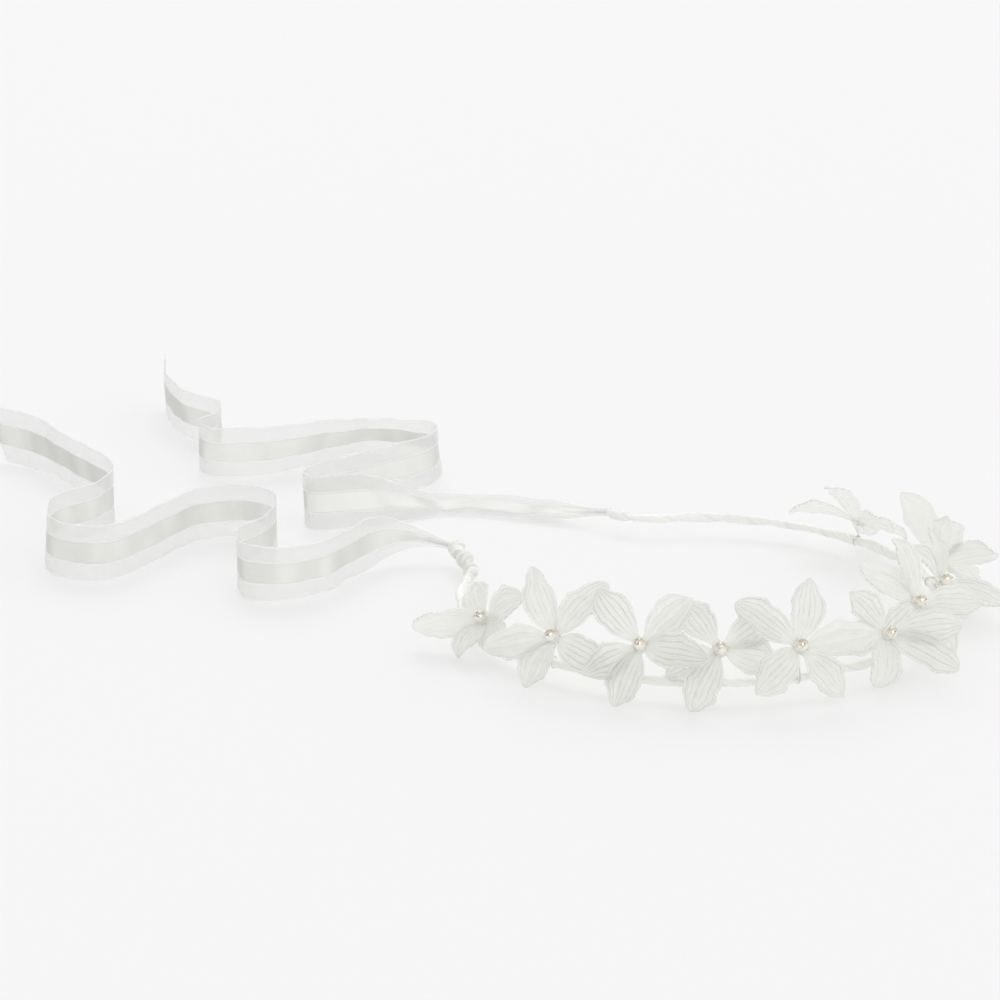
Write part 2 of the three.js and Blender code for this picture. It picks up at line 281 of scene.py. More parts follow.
def both_faces(columns):
    """Places across a thin sheet's front and back along its rear, and 1 or -1 for the face each is on."""
    there_and_back = np.concatenate([columns, columns[-2:0:-1]])
    face = np.concatenate([np.ones(len(columns)), -np.ones(len(columns) - 2)])
    return there_and_back[None, :], face[None, :]


def rounded_edge(across, power):
    """A factor that thins a sheet to nothing at its two edges. The higher the power, the nearer to them."""
    return np.sqrt(np.clip(1 - np.abs(across) ** power, 0, 1))


def cloth_values(shape, across, along):
    """Cloth coordinates in millimetres for each point of some rings."""
    cloth = np.zeros((*shape[:2], 3))
    cloth[..., 0] = across
    cloth[..., 1] = along
    return cloth


def rows_of_faces(here, there):
    """Quads from each closed row of corners to the row beside it."""
    quads = np.stack([here, np.roll(here, -1, 1), np.roll(there, -1, 1), there], axis=-1)
    return [list(face) for face in quads.reshape(-1, 4)]


def point_values(rings, values):
    """Each value at every point of the rings, from one number, or an array of numbers or vectors."""
    made = {}
    for name, value in values.items():
        value = np.atleast_2d(value)
        spread = np.broadcast_to(value, rings.shape[:2] + value.shape[2:])
        made[name] = spread.reshape((-1,) + value.shape[2:])
    return made


def loft(rings, values=None):
    """A closed skin over closed rings of points, with flat ends. Returns points, faces and values."""
    index = np.arange(rings.shape[0] * rings.shape[1]).reshape(rings.shape[:2])
    faces = rows_of_faces(index[:-1], index[1:])
    faces.append(list(index[0][::-1]))
    faces.append(list(index[-1]))
    return rings.reshape(-1, 3), faces, point_values(rings, values or {})


def ring_solid(rings, values=None):
    """A skin over rings that closes on itself from the last ring to the first, as a bead's does."""
    index = np.arange(rings.shape[0] * rings.shape[1]).reshape(rings.shape[:2])
    faces = rows_of_faces(index, np.roll(index, -1, 0))
    return rings.reshape(-1, 3), faces, point_values(rings, values or {})


def make_piece(name, skins, material):
    """One mesh object from several closed skins, with their values as point attributes."""
    points, faces, start = [], [], 0
    for skin_points, skin_faces, _ in skins:
        points.append(skin_points)
        faces += [[corner + start for corner in face] for face in skin_faces]
        start += len(skin_points)
    mesh = bpy.data.meshes.new(name)
    mesh.from_pydata((np.concatenate(points) * MM).tolist(), [], faces)
    for key in skins[0][2]:
        data = np.concatenate([values[key] for _, _, values in skins])
        kind, field = ("FLOAT", "value") if data.ndim == 1 else ("FLOAT_VECTOR", "vector")
        layer = mesh.attributes.new(key, kind, "POINT")
        layer.data.foreach_set(field, data.astype(np.float32).ravel())
    face_outwards(mesh)
    mesh.polygons.foreach_set("use_smooth", [True] * len(mesh.polygons))
    mesh.materials.append(material)
    piece = bpy.data.objects.new(name, mesh)
    bpy.context.scene.collection.objects.link(piece)
    return piece


def face_outwards(mesh):
    shape = bmesh.new()
    shape.from_mesh(mesh)
    bmesh.ops.recalc_face_normals(shape, faces=shape.faces)
    shape.to_mesh(mesh)
    shape.free()


def place(piece, body, node):
    """The piece rides on a body and stands for the named node."""
    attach(piece, body)
    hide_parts(node)


def swept_sections(node, end, corners):
    """The cross-sections of a swept solid in order, each an array of corners, from one of its ends."""
    shape = bmesh.new()
    shape.from_mesh(frame["nodes"][node].data)
    bmesh.ops.remove_doubles(shape, verts=shape.verts, dist=1e-6)
    shape.verts.ensure_lookup_table()
    points = np.array([vert.co for vert in shape.verts]) / MM
    layer = set(np.argsort(np.linalg.norm(points - end, axis=1))[:corners].tolist())
    seen = set(layer)
    sections = []
    while layer:
        sections.append(points[sorted(layer)])
        joined = {edge.other_vert(shape.verts[i]).index for i in layer for edge in shape.verts[i].link_edges}
        layer = joined - seen
        seen |= layer
    shape.free()
    return sections


# ---- Materials ----------------------------------------------------------------------------------

def new_material(name):
    material = bpy.data.materials.new(name)
    material.use_nodes = True
    material.node_tree.nodes.clear()
    return material, material.node_tree


def set_input(tree, socket, value):
    """Link a socket to an input, or give it a number, a vector or a colour."""
    if isinstance(value, bpy.types.NodeSocket):
        tree.links.new(value, socket)
    elif socket.type == "RGBA":
        socket.default_value = (*value, 1.0)
    else:
        socket.default_value = value


def add(tree, kind, **settings):
    """A node of a kind. A setting is an input's name with underscores for spaces, or else a property."""
    node = tree.nodes.new(kind)
    for key, value in settings.items():
        name = key.replace("_", " ")
        if name in node.inputs:
            set_input(tree, node.inputs[name], value)
        else:
            setattr(node, key, value)
    return node


def surface_of(tree, colour, **settings):
    return add(tree, "ShaderNodeBsdfPrincipled", Base_Color=colour, **settings).outputs[0]


def maths(tree, operation, first, second):
    node = add(tree, "ShaderNodeMath", operation=operation)
    set_input(tree, node.inputs[0], first)
    set_input(tree, node.inputs[1], second)
    return node.outputs[0]


def ramp(tree, value, low, high, start=0.0, end=1.0):
    node = add(tree, "ShaderNodeMapRange", interpolation_type="SMOOTHSTEP", Value=value,
               From_Min=low, From_Max=high, To_Min=start, To_Max=end)
    return node.outputs["Result"]


def mix_colours(tree, share, first, second):
    node = add(tree, "ShaderNodeMix", data_type="RGBA")
    for socket, value in zip((node.inputs[0], node.inputs[6], node.inputs[7]), (share, first, second)):
        set_input(tree, socket, value)
    return node.outputs[2]


def mix_shaders(tree, share, first, second):
    node = tree.nodes.new("ShaderNodeMixShader")
    for socket, value in zip(node.inputs, (share, first, second)):
        set_input(tree, socket, value)
    return node.outputs[0]


def bump(tree, height, strength, distance):
    return add(tree, "ShaderNodeBump", Height=height, Strength=strength, Distance=distance).outputs["Normal"]


def noise(tree, vector, scale, detail):
    return add(tree, "ShaderNodeTexNoise", Vector=vector, Scale=scale, Detail=detail).outputs["Fac"]


def stretched(tree, vector, scale):
    return add(tree, "ShaderNodeMapping", Vector=vector, Scale=scale).outputs[0]


def attribute(tree, name, output="Fac"):
    return add(tree, "ShaderNodeAttribute", attribute_name=name).outputs[output]


def facing_away(tree):
    """From 0 where a face is seen straight on to 1 at its outline."""
    return add(tree, "ShaderNodeLayerWeight", Blend=0.5).outputs["Facing"]


def threads(tree, cloth, pitch):
    """The height of a plain weave on cloth coordinates in millimetres."""
    parts = add(tree, "ShaderNodeSeparateXYZ", Vector=cloth)
    warp = maths(tree, "SINE", maths(tree, "MULTIPLY", parts.outputs["X"], FULL_TURN / pitch), 0.0)
    weft = maths(tree, "SINE", maths(tree, "MULTIPLY", parts.outputs["Y"], FULL_TURN / pitch), 0.0)
    return maths(tree, "MULTIPLY", warp, weft)


def finish_material(tree, shader):
    add(tree, "ShaderNodeOutputMaterial", Surface=shader)


def petal_material():
    """Sheer net sewn into pale raised pleats, with painted shade in the grooves between them and a thin dark
    rim.
    """
    material, tree = new_material("petal_fabric")
    cloth = attribute(tree, "cloth", "Vector")
    mottle = noise(tree, cloth, 0.3, 3.0)
    stitch = noise(tree, cloth, 2.4, 2.0)
    net = threads(tree, cloth, 0.6)
    normal = bump(tree, maths(tree, "ADD", stitch, maths(tree, "MULTIPLY", net, 0.4)), 0.4, 0.0003)
    # Painted shade: the grooves between the pleats take the darker colour.
    groove = mix_colours(tree, mottle, *PETAL_GROOVES_PAINTED_SHADE)
    raised = mix_colours(tree, mottle, *PETAL_PLEATS)
    pleats = mix_colours(tree, ramp(tree, attribute(tree, "cord"), 0.2, 0.62), groove, raised)
    colour = mix_colours(tree, attribute(tree, "rim"), pleats, PETAL_RIM)
    surface = surface_of(tree, colour, Normal=normal, Roughness=0.5, Sheen_Weight=0.3, Sheen_Roughness=0.4)
    glow = add(tree, "ShaderNodeBsdfTranslucent", Color=colour, Normal=normal)
    body = mix_shaders(tree, 0.5, surface, glow.outputs[0])
    clear = add(tree, "ShaderNodeBsdfTransparent")
    holes = ramp(tree, net, -0.5, 0.5, 0.12, 0.22)
    open_share = maths(tree, "MULTIPLY", holes, ramp(tree, facing_away(tree), 0.3, 0.9, 1.0, 0.0))
    finish_material(tree, mix_shaders(tree, open_share, body, clear.outputs[0]))
    return material


def satin_stripe(tree, cloth):
    """Satin with fine lengthwise lines, painted sheen in its colour that shimmers along it, and painted
    shade where it slants away.
    """
    slub = noise(tree, cloth, 0.5, 4.0)
    lines = bump(tree, noise(tree, stretched(tree, cloth, (3.0, 0.12, 1.0)), 1.0, 3.0), 0.3, 0.0003)
    # Painted sheen: a broad noise along the ribbon, plus each tie's own share, lifts the stripe's colour
    # from dull to bright.
    shimmer = noise(tree, stretched(tree, cloth, (0.01, 0.055, 1.0)), 1.0, 1.0)
    dull = mix_colours(tree, slub, *STRIPE_PAINTED_DULL)
    bright = mix_colours(tree, slub, *STRIPE_PAINTED_BRIGHT)
    painted_sheen = maths(tree, "ADD", shimmer, attribute(tree, "painted_sheen"))
    satin_colour = mix_colours(tree, ramp(tree, painted_sheen, 0.4, 0.66), dull, bright)
    # Painted shade: the stripe is darker where it is seen at a slant, except in the gathered ends.
    painted_slant_shade = maths(tree, "MULTIPLY", ramp(tree, facing_away(tree), 0.3, 0.7), attribute(tree, "spread"))
    colour = mix_colours(tree, painted_slant_shade, satin_colour, STRIPE_PAINTED_SLANT_SHADE)
    matt = surface_of(tree, colour, Normal=lines, Roughness=0.42, Specular_IOR_Level=0.2)
    gloss = add(tree, "ShaderNodeBsdfAnisotropic", Normal=lines, Roughness=0.38, Anisotropy=0.6)
    return mix_shaders(tree, 0.1, matt, gloss.outputs[0])


def organza(tree, cloth):
    """Sheer netting that closes up at the selvedges, at the seams and where it is seen at a slant."""
    edge = attribute(tree, "selvedge")
    weave = threads(tree, cloth, 0.5)
    colour = mix_colours(tree, edge, ORGANZA, SELVEDGE_THREAD)
    normal = bump(tree, weave, 0.12, 0.0002)
    border = surface_of(tree, colour, Normal=normal, Roughness=0.55, Sheen_Weight=0.3)
    glow = add(tree, "ShaderNodeBsdfTranslucent", Color=colour)
    lit = mix_shaders(tree, 0.45, border, glow.outputs[0])
    clear = add(tree, "ShaderNodeBsdfTransparent", Color=ORGANZA_TINT)
    netting = ramp(tree, weave, -0.6, 0.6, 0.72, 0.58)
    shut = maths(tree, "SUBTRACT", 1.0, maths(tree, "MULTIPLY", edge, 0.8))
    across = maths(tree, "MULTIPLY", netting, ramp(tree, facing_away(tree), 0.45, 1.0, 1.0, 0.35))
    return mix_shaders(tree, maths(tree, "MULTIPLY", across, shut), lit, clear.outputs[0])


def ribbon_material():
    """Organza borders with a satin stripe woven down the middle, and a fine white line at each edge."""
    material, tree = new_material("tie_ribbon")
    cloth = attribute(tree, "cloth", "Vector")
    stripe = satin_stripe(tree, cloth)
    finish_material(tree, mix_shaders(tree, attribute(tree, "satin"), organza(tree, cloth), stripe))
    return material


def satin_material():
    """Creased satin with a mottled tone that is darker in the crease hollows, partly painted shade, and
    painted shade in its folds.
    """
    material, tree = new_material("satin_wrap")
    crease = noise(tree, attribute(tree, "cloth", "Vector"), 0.7, 5.0)
    # The mottle follows the crease bump, so the hollows are a little darker: partly an uneven tone, partly
    # painted shade.
    plain = mix_colours(tree, crease, *WRAP_SATIN)
    # Painted shade from the groove mask.
    colour = mix_colours(tree, attribute(tree, "groove"), plain, WRAP_PAINTED_FOLD_SHADE)
    surface = surface_of(tree, colour, Normal=bump(tree, crease, 0.4, 0.0005), Roughness=0.42,
                         Specular_IOR_Level=0.25, Anisotropic=0.5, Sheen_Weight=0.2)
    finish_material(tree, surface)
    return material


def pearl_material():
    """Ivory, painted golden-dark towards the top as a painted reflection, under a clear coat."""
    material, tree = new_material("pearl")
    cloud = noise(tree, add(tree, "ShaderNodeTexCoord").outputs["Object"], 500.0, 2.0)
    normal = add(tree, "ShaderNodeNewGeometry").outputs["Normal"]
    upward = add(tree, "ShaderNodeSeparateXYZ", Vector=normal).outputs["Z"]
    ivory = mix_colours(tree, cloud, *PEARL_IVORY)
    # Painted reflection: the colour turns golden-dark where the surface faces up in the world.
    colour = mix_colours(tree, ramp(tree, upward, 0.1, 0.95), ivory, PEARL_PAINTED_TOP_REFLECTION)
    surface = surface_of(tree, colour, Roughness=0.14, Metallic=0.45, Coat_Weight=1.0, Coat_Roughness=0.06)
    finish_material(tree, surface)
    return material


def wire_material(name, colour, roughness):
    """Drawn metal wire with fine scratches."""
    material, tree = new_material(name)
    scratch = noise(tree, add(tree, "ShaderNodeTexCoord").outputs["Object"], 3000.0, 3.0)
    rough = ramp(tree, scratch, 0.3, 0.7, roughness - 0.1, roughness + 0.1)
    normal = bump(tree, scratch, 0.2, 0.0001)
    finish_material(tree, surface_of(tree, colour, Metallic=0.9, Roughness=rough, Normal=normal))
    return material


def floor_material():
    """A pale table lit from within, so that shadows on it are faint."""
    material, tree = new_material("table_top")
    surface = surface_of(tree, FLOOR_COLOUR, Roughness=0.9, Specular_IOR_Level=0.1,
                         Emission_Color=WHITE, Emission_Strength=FLOOR_GLOW)
    finish_material(tree, surface)
    return material


# ---- Band ---------------------------------------------------------------------------------------

def band_path():
    end = np.array(JOINTS["front_tie_swing"]["pos_m"]) / MM
    centres = [section.mean(axis=0) for section in swept_sections("band_core_wire", end, CORE_CORNERS)]
    return resample(centres, BAND_STEP)


def wound_ribbon(distance, angles):
    """The outside of satin ribbon wound round the wire, each turn lapping over the last. It is knotted in
    lumps near the front end, and pulled flat and pinched further back. Returns the radius, how much
    painted shade each point gets under the laps' edges, in the knots' folds and over the lumps, and how much
    of a lump it is on."""
    along = distance[:, None]
    around = angles[None, :]
    turn = around - FULL_TURN * along / WRAP_PITCH
    lap = np.mod(turn / FULL_TURN, 1)
    lip = WRAP_LIP * smooth_step(lap, 0, LAP_EDGE) * (1 - smooth_step(lap, LAP_EDGE, 1))
    crease = sum(height * np.sin(number * turn + drift * along) for height, number, drift in WRAP_CREASES)
    pinch = 1 - PINCH_DEPTH * np.sin(math.pi * along / PINCH_PITCH + 0.9 * np.sin(along / 41)) ** 10
    flat = 1 + FLATNESS * np.cos(2 * around - along / 11)
    knots = 1 - smooth_step(along, *KNOTS_FADE)
    swell = np.sin(math.pi * (along - KNOT_START) / KNOT_PITCH) ** 2
    crossing = np.abs(np.sin(1.5 * around - 0.85 * along + 0.5 * np.sin(along))) ** 0.7
    crossing = crossing * (0.75 + 0.25 * np.abs(np.sin(2.5 * around + 0.7 * along)) ** 0.6)
    fold = 0.45 + 0.8 * crossing
    radius = (WRAP_RADIUS + lip + crease) * pinch * flat + KNOT_HEIGHT * knots * swell * fold
    # Painted shade: a dark line under the edge of each lap, in the valleys of the knots, and over the whole
    # knotted stretch.
    seam = np.exp(-((lap - SEAM_AT) / SEAM_WIDTH) ** 2)
    valley = knots * (0.5 * (1 - swell) ** 2 + 1.6 * (1 - crossing) ** 1.5)
    groove = np.clip(0.35 * seam + 0.55 * valley + 0.22 * knots, 0, 1)
    return radius, groove, knots * swell


def band_pieces(path, material):
    distance = distance_along(path)
    angles = circle(BAND_SIDES)
    radius, groove, lump = wound_ribbon(distance, angles)
    rings = tube(path, radius, BAND_SIDES) + lump[..., None] * KNOT_SIDE
    turn = distance[:, None] - WRAP_PITCH * angles[None, :] / FULL_TURN
    cloth = cloth_values(rings.shape, np.mod(turn, WRAP_PITCH), 0.3 * distance[:, None])
    wrap = make_piece("satin_wrap", [loft(rings, {"cloth": cloth, "groove": groove})], material)
    place(wrap, "band", "band_ribbon_wrap")
    binding_piece("front_binding", path, distance - BINDING_START, material)
    binding_piece("rear_binding", path, distance[-1] - BINDING_START - distance, material)


def binding_piece(node, path, inwards, material):
    """Folds of the tie's ribbon wound over the end of the band, as overlapping rolls."""
    chosen = (inwards >= -BINDING_OVERLAP) & (inwards <= BINDING_LENGTH + BINDING_OVERLAP)
    stretch = resample(path[chosen], BINDING_STEP)
    share = np.linspace(0, 1, len(stretch))[:, None]
    turn = circle(BAND_SIDES)[None, :] + FULL_TURN * BINDING_TURNS * share
    roll = np.abs(np.sin(turn / 2)) ** 0.6
    taper = np.sin(math.pi * np.clip(share, 0.02, 0.98)) ** 0.35
    radius, fold = BINDING_FOLDS[node]
    radius = radius + (fold * roll + BINDING_CREASE * np.sin(7 * turn)) * taper
    rings = tube(stretch, radius, BAND_SIDES)
    # The groove value paints shade between the binding's rolls.
    values = {"cloth": cloth_values(rings.shape, turn * 2, 5 * share), "groove": 0.7 * (1 - roll) ** 2}
    piece = make_piece(f"{node}_folds", [loft(rings, values)], material)
    place(piece, "band", node)


# ---- Flowers ------------------------------------------------------------------------------------

def flower_axes(number):
    """The pearl's centre, and the flower's directions to its right, up and out of its face."""
    joint = JOINTS[f"flower_{number:02d}_turn"]
    out = unit(joint["axis"])
    up = unit(UP - out * out[2])
    return np.array(joint["pos_m"]) / MM, np.cross(up, out), up, out


def in_flower(skin, origin, right, up, out):
    """A skin made in a flower's own directions, moved to its place on the crown."""
    points, faces, values = skin
    return origin + points @ np.array([right, up, out]), faces, values


def petal_half_width(share, belly_at, bluntness):
    belly = PETAL_WIDTH / 2 * np.sin(math.pi * share**belly_at) ** bluntness
    edge = PETAL_BASE_HALF_WIDTH + (PETAL_TIP_HALF_WIDTH - PETAL_BASE_HALF_WIDTH) * share
    return np.maximum(belly, edge)


def pleated(u, wander):
    """How raised the cloth is across a petal: round pleats with a narrow groove between each two."""
    return np.abs(np.cos(math.pi * PLEATS_INSIDE / 2 * (u / BORDER + wander))) ** PLEAT_SHARPNESS


def petal_arc(share, lift, length):
    """A petal's middle line, curled back towards its tip: the distance out, the rise and the slope."""
    angle = np.radians(lift + PETAL_CURL - 2 * PETAL_CURL * share)
    start = math.radians(lift + PETAL_CURL)
    turn = -2 * math.radians(PETAL_CURL)
    arc = length - PETAL_ROOT
    along = PETAL_ROOT + arc * (np.sin(angle) - math.sin(start)) / turn
    rise = -arc * (np.cos(angle) - math.cos(start)) / turn
    return along, rise, angle


def petal_loft(petal, chance):
    """One petal in the flower's axes, a sheer sheet with lengthwise pleats and a stitched edge."""
    clock, lift, length, roll = petal
    belly_at = chance.uniform(*BELLY_RANGE)
    bluntness = chance.uniform(*BLUNTNESS_RANGE)
    phase = [chance.uniform(0, FULL_TURN) for _ in range(4)]
    ruffle = chance.uniform(*RUFFLE_RANGE)
    tip_curl = chance.uniform(*TIP_CURL_RANGE)

    share = np.linspace(0, 1, PETAL_ROWS)[:, None]
    even = np.linspace(-1, 1, PETAL_COLUMNS)
    u, face = both_faces(0.6 * even + 0.4 * np.sin(math.pi / 2 * even))
    front = 0.5 + 0.5 * face
    edge_side = np.sign(u)

    # Outline
    half = petal_half_width(share, belly_at, bluntness)
    long_wave, short_wave = OUTLINE_WAVES
    uneven = long_wave * np.sin(11 * share + phase[3] + edge_side)
    uneven = uneven + short_wave * np.sin(27 * share + phase[2] * edge_side)
    half = half * (1 + uneven * smooth_step(share, 0.3, 0.6))
    fullness = 2 * half / PETAL_WIDTH
    stitches = FULL_TURN * share * length / STITCH_PITCH + phase[0]
    scallop = STITCH_DEPTH * (np.abs(np.sin(stitches / 2 + 0.6 * edge_side)) - 0.6) * fullness
    side = u * (half + scallop)

    # Relief: the pleats, the edge, and the whole petal's cup, ruffle and curl
    inset = (1 - np.abs(u)) * half
    edge = np.exp(-((inset - EDGE_CORD) / EDGE_CORD) ** 2)
    wander = 0.05 * np.sin(6 * share + phase[1]) * (1 - np.abs(u))
    beads = 0.84 + 0.16 * np.sin(1.3 * stitches + 2.5 * np.round(PLEATS_INSIDE * u))
    depth = (0.6 + 0.4 * abs(math.sin(phase[2]))) * smooth_step(share, 0.05, 0.3)
    cord = 1 - depth * (1 - np.clip(pleated(u, wander) * beads, 0, 1))
    pleats = PLEAT_HEIGHT * cord * np.sqrt(fullness)
    thickness = CLOTH_THICKNESS / 2 + 0.5 * EDGE_CORD * edge
    proud = (face * thickness + (0.05 + 0.95 * front) * pleats) * rounded_edge(u, 60)
    proud = proud + PETAL_CUP * u**2 * fullness
    loose = smooth_step(share, 0.3, 1) * np.abs(u) ** 1.5
    proud = proud + ruffle * loose * np.sin(11 * share + phase[2] + edge_side * phase[3] * 0.4)
    proud = proud + WAVE_HEIGHT * fullness * np.cos(3 * math.pi * u + phase[1])
    proud = proud + tip_curl * smooth_step(share, 0.72, 1.05) ** 2

    # In place round the flower
    along, rise, slope = petal_arc(share, lift, length)
    twist = math.radians(roll) * smooth_step(share, 0, 0.5)
    across = side * np.cos(twist) - proud * np.sin(twist)
    above = side * np.sin(twist) + proud * np.cos(twist)
    outwards = along - above * np.sin(slope)
    spin = math.radians(clock - 90)
    to_right = across * math.cos(spin) - outwards * math.sin(spin)
    to_top = across * math.sin(spin) + outwards * math.cos(spin)
    rings = np.stack([to_right, to_top, rise + above * np.cos(slope)], axis=-1)

    cloth = cloth_values(rings.shape, side + 40 * clock / 360, share * length)
    # The rim is darker in patches along the outer part of the petal.
    rim_patches = 0.35 + 0.35 * np.sin(3.1 * share * length + phase[3]) * np.sin(0.5 * share * length + phase[0])
    rim = smooth_step(np.abs(u), 0.94, 0.985) * rim_patches * smooth_step(share, 0.35, 0.8)
    return loft(rings, {"cloth": cloth, "cord": cord * front + 0.8 * (1 - front), "rim": rim * front})


def hub_loft():
    """The gathered cloth where the petals meet, drilled for the stem wire."""
    angles = circle(HUB_SIDES)
    rings = []
    for radius, height in HUB_PROFILE:
        reach = radius * (1 + 0.06 * np.sin(HUB_PLEATS * angles) * (radius > 1))
        level = np.full(HUB_SIDES, height)
        rings.append(np.stack([reach * np.cos(angles), reach * np.sin(angles), level], axis=-1))
    return ring_solid(np.array(rings), {"cloth": np.zeros((1, 1, 3)), "cord": 1.0, "rim": 0.0})


def pearl_loft():
    """A drilled ball. The last ring joins the first, which makes the bore."""
    end = math.asin(PEARL_BORE / PEARL_RADIUS)
    bends = np.linspace(-math.pi / 2 + end, math.pi / 2 - end, PEARL_ROWS)
    angles = circle(PEARL_SIDES)
    radius = PEARL_RADIUS * np.cos(bends)[:, None]
    height = PEARL_RADIUS * np.sin(bends)[:, None] + 0 * angles
    return ring_solid(np.stack([radius * np.cos(angles), radius * np.sin(angles), height], axis=-1))


def stem_path(axes, ring_centre):
    """Coiled on the band, up to the hub, straight through the petals and the pearl, and bent over."""
    pearl, right, up, out = axes
    outward = unit((pearl - ring_centre) * [1, 1, 0])
    centre = ring_centre + outward * BAND_RADIUS + UP * FRONT_END[2]
    tangent = np.cross(UP, outward)
    turns = np.linspace(0, 1, 25)[:, None]
    coil = centre + COIL_RADIUS * (outward * np.cos(FULL_TURN * turns) + UP * np.sin(FULL_TURN * turns))
    coil = coil + tangent * COIL_PITCH * (turns - 1)
    behind = pearl - out * (HUB_BEHIND_PEARL + STEM_BEHIND_HUB)
    beyond = pearl + out * (PEARL_RADIUS + STEM_BEYOND_PEARL)
    middle = (coil[-1] + behind) / 2 + outward * STEM_BOW
    bend = spline(np.array([coil[-1], middle, behind]), np.linspace(0, 2, 10))[1:]
    straight = behind + (beyond - behind) * np.linspace(0, 1, 12)[1:, None]
    corner, tip = [beyond + out * rise - (right + up) * drop for rise, drop in (HOOK_CORNER, HOOK_TIP)]
    t = np.linspace(0, 1, 8)[1:, None]
    hook = (1 - t) ** 2 * beyond + 2 * t * (1 - t) * corner + t**2 * tip
    return np.concatenate([coil, bend, straight, hook])


def flower_pieces(number, petals, ring_centre, materials):
    chance = random.Random(100 + number)
    tag = f"{number:02d}"
    axes = flower_axes(number)
    pearl, right, up, out = axes
    hub = pearl - out * HUB_BEHIND_PEARL
    skins = [in_flower(petal_loft(petal, chance), hub, right, up, out) for petal in petals]
    skins.append(in_flower(hub_loft(), hub, right, up, out))
    cloth = make_piece(f"petals_{tag}", skins, materials["petal"])
    place(cloth, f"flower_{tag}", f"flower_{tag}_petals")
    bead = make_piece(f"pearl_bead_{tag}", [in_flower(pearl_loft(), *axes)], materials["pearl"])
    place(bead, f"pearl_{tag}", f"flower_{tag}_pearl")
    path = stem_path(axes, ring_centre)
    taper = 1 - 0.4 * smooth_step(np.arange(len(path)), len(path) - 9, len(path) - 5)
    rings = tube(path, (STEM_RADIUS * taper)[:, None], STEM_SIDES)
    wire = make_piece(f"stem_wire_{tag}", [loft(rings)], materials["wire"])
    place(wire, "band", f"flower_{tag}_stem_wire")


# ---- Tie ribbons --------------------------------------------------------------------------------

def ribbon_edges(node, pivot):
    """The lower and upper edge of a tie at each of its cross-sections, from the band outwards."""
    edges = []
    for section in swept_sections(node, pivot, RIBBON_CORNERS):
        if len(section) != RIBBON_CORNERS:
            break
        if edges:
            lower, upper = edges[-1]
            rank = np.linalg.norm(section - lower, axis=1) - np.linalg.norm(section - upper, axis=1)
        else:
            rank = section[:, 2]
        order = np.argsort(rank)
        edges.append([section[order[:2]].mean(axis=0), section[order[2:]].mean(axis=0)])
    return np.array(edges)


def ribbon_piece(tie, seed, painted_sheen, material):
    """A tie from inside its binding to its cut end, built out from its joint's end near the band."""
    chance = random.Random(seed)
    node = f"{tie}_tie_ribbon"
    pivot = np.array(JOINTS[f"{tie}_tie_swing"]["pos_m"]) / MM
    edges = ribbon_edges(node, pivot)
    start = unit((edges[0] - edges[1]).mean(axis=0))
    edges = resample(np.concatenate([[edges[0] + start * TUCKED_IN], edges]), RIBBON_STEP)
    centre = edges.mean(axis=1)
    across = (edges[:, 1] - edges[:, 0]) / 2
    half = np.linalg.norm(across, axis=1)
    normal = unit(np.cross(across, np.gradient(centre, axis=0)))
    distance = distance_along(centre)[:, None]
    even = np.linspace(-1, 1, RIBBON_COLUMNS)
    s, face = both_faces(np.sign(even) * (1 - (1 - np.abs(even)) ** 1.5))
    loose = np.clip(half / RIBBON_HALF_WIDTH, 0, 1)[:, None]
    gathered = 1 - loose
    phase = [chance.uniform(0, FULL_TURN) for _ in range(4)]

    ripple = sum(height * np.sin(distance / length + begin + slant * s)
                 for (height, length, slant), begin in zip(RIBBON_RIPPLES, phase))
    flutter = np.sin(distance / FLUTTER_LENGTH + phase[2] + np.sign(s) * phase[3])
    flutter = FLUTTER_HEIGHT * np.abs(s) ** 2 * flutter
    pleat = GATHER_DEPTH * gathered * np.sin(math.pi * GATHERS * s + 0.05 * distance)
    edge = np.exp(-((1 - np.abs(s)) * RIBBON_HALF_WIDTH / SELVEDGE_WIDTH) ** 2)
    seam = np.exp(-((np.abs(s) - SATIN_SHARE) * RIBBON_HALF_WIDTH / SEAM_LINE_WIDTH) ** 2)
    thick = (RIBBON_THICKNESS / 2 + SELVEDGE / 2 * edge) * rounded_edge(s, 80)
    offset = (ripple + flutter) * loose + pleat + face * thick
    rings = centre[:, None] + across[:, None] * s[..., None] + normal[:, None] * offset[..., None]
    rings[..., 2] = np.maximum(rings[..., 2], TABLE_GAP + FACE_GAP * (face > 0))

    values = {
        "cloth": cloth_values(rings.shape, s * RIBBON_HALF_WIDTH, distance),
        "satin": smooth_step(SATIN_SHARE - np.abs(s), -0.01, 0.01),
        "selvedge": np.maximum(np.maximum(edge, seam), 0.8 * gathered),
        # how much painted sheen this tie's satin stripe gets
        "painted_sheen": painted_sheen,
        # where the ribbon is spread out, the only place the slant shade is painted
        "spread": 1 - smooth_step(gathered, 0.4, 0.8),
    }
    piece = make_piece(f"{tie}_tie_cloth", [loft(rings, values)], material)
    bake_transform(piece)
    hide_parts(node)


# ---- Stage --------------------------------------------------------------------------------------

def add_floor(centre):
    bpy.ops.mesh.primitive_plane_add(size=FLOOR_SIZE, location=(centre[0] * MM, centre[1] * MM, 0))
    floor = bpy.context.object
    floor.name = "table"
    floor.data.materials.append(floor_material())


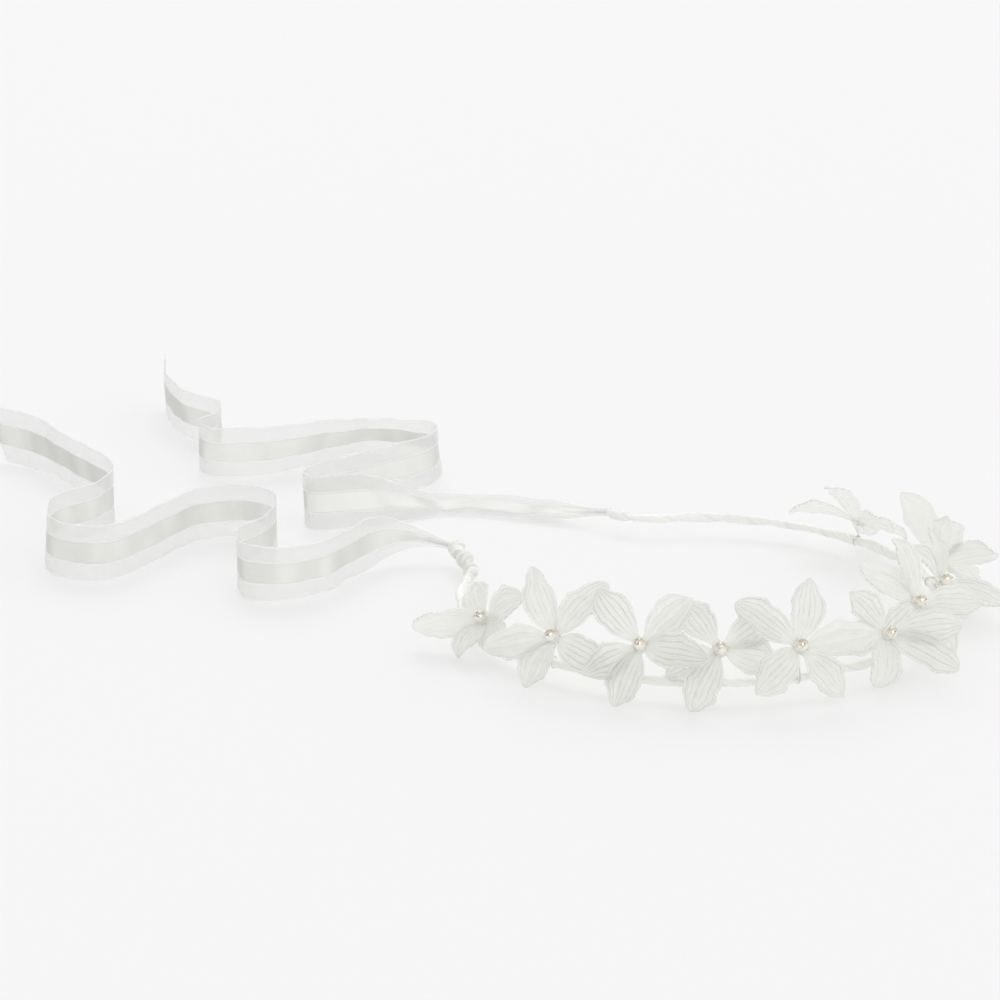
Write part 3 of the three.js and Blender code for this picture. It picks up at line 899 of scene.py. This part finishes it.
def add_world():
    """A white tent, a little brighter on the right. Shiny surfaces see it darker towards the horizon,
    with a softbox above the camera, and the camera sees a plain backdrop."""
    world = bpy.data.worlds.new("studio")
    bpy.context.scene.world = world
    world.use_nodes = True
    tree = world.node_tree
    tree.nodes.clear()
    ray = add(tree, "ShaderNodeTexCoord").outputs["Generated"]
    direction = add(tree, "ShaderNodeSeparateXYZ", Vector=ray)
    tent = maths(tree, "ADD", maths(tree, "MULTIPLY", direction.outputs["X"], TENT_TILT), TENT_LIGHT)
    ceiling = ramp(tree, direction.outputs["Z"], 0.1, 0.8, HORIZON_LIGHT, 1.0)
    side = ramp(tree, direction.outputs["X"], -0.6, 0.8, 0.0, SIDE_LIGHT)
    towards_box = add(tree, "ShaderNodeVectorMath", operation="DOT_PRODUCT")
    set_input(tree, towards_box.inputs[0], ray)
    set_input(tree, towards_box.inputs[1], SOFTBOX_DIRECTION)
    box = ramp(tree, towards_box.outputs["Value"], *SOFTBOX_EDGE, 0.0, SOFTBOX_LIGHT)
    room = maths(tree, "ADD", maths(tree, "ADD", ceiling, side), box)
    for_matt, for_shiny, for_camera = [
        add(tree, "ShaderNodeBackground", Color=WHITE, Strength=strength).outputs[0]
        for strength in (tent, room, BACKDROP)
    ]
    path = add(tree, "ShaderNodeLightPath")
    lit = mix_shaders(tree, path.outputs["Is Glossy Ray"], for_matt, for_shiny)
    seen = mix_shaders(tree, path.outputs["Is Camera Ray"], lit, for_camera)
    add(tree, "ShaderNodeOutputWorld", Surface=seen)


def add_sun():
    light = bpy.data.lights.new("softbox", "SUN")
    light.energy = SUN_ENERGY
    light.angle = math.radians(SUN_SOFTNESS)
    lamp = bpy.data.objects.new("softbox", light)
    elevation = math.radians(SUN_ELEVATION)
    azimuth = math.radians(SUN_AZIMUTH)
    level = math.cos(elevation)
    towards = Vector((-math.sin(azimuth) * level, math.cos(azimuth) * level, math.sin(elevation)))
    lamp.rotation_mode = "QUATERNION"
    lamp.rotation_quaternion = towards.to_track_quat("Z", "Y")
    bpy.context.scene.collection.objects.link(lamp)


def add_camera(ring_centre):
    data = bpy.data.cameras.new("camera")
    data.lens = CAMERA_LENS
    data.clip_start = CAMERA_NEAREST
    camera = bpy.data.objects.new("camera", data)
    camera.location = (ring_centre + CAMERA_FROM_CENTRE) * MM
    camera.rotation_euler = (math.radians(90 - CAMERA_PITCH), 0, 0)
    bpy.context.scene.collection.objects.link(camera)
    bpy.context.scene.camera = camera


# ---- Crown --------------------------------------------------------------------------------------

MATERIALS = {
    "petal": petal_material(),
    "ribbon": ribbon_material(),
    "satin": satin_material(),
    "pearl": pearl_material(),
    "wire": wire_material("stem_wire", STEM_METAL, 0.3),
    "core": wire_material("core_wire", CORE_METAL, 0.45),
}
RING_CENTRE = np.array(JOINTS["front_tie_swing"]["pos_m"]) / MM - FRONT_END

band_pieces(band_path(), MATERIALS["satin"])
for i, petals in enumerate(PETALS):
    flower_pieces(i + 1, petals, RING_CENTRE, MATERIALS)
for tie, (seed, painted_sheen) in TIES.items():
    ribbon_piece(tie, seed, painted_sheen, MATERIALS["ribbon"])
core = frame["nodes"]["band_core_wire"]
core.data.materials.clear()
core.data.materials.append(MATERIALS["core"])
add_floor(RING_CENTRE)
add_world()
add_sun()
add_camera(RING_CENTRE)
bpy.context.scene.view_settings.view_transform = "Standard"
bpy.context.scene.cycles.transparent_max_bounces = SHEER_LAYERS
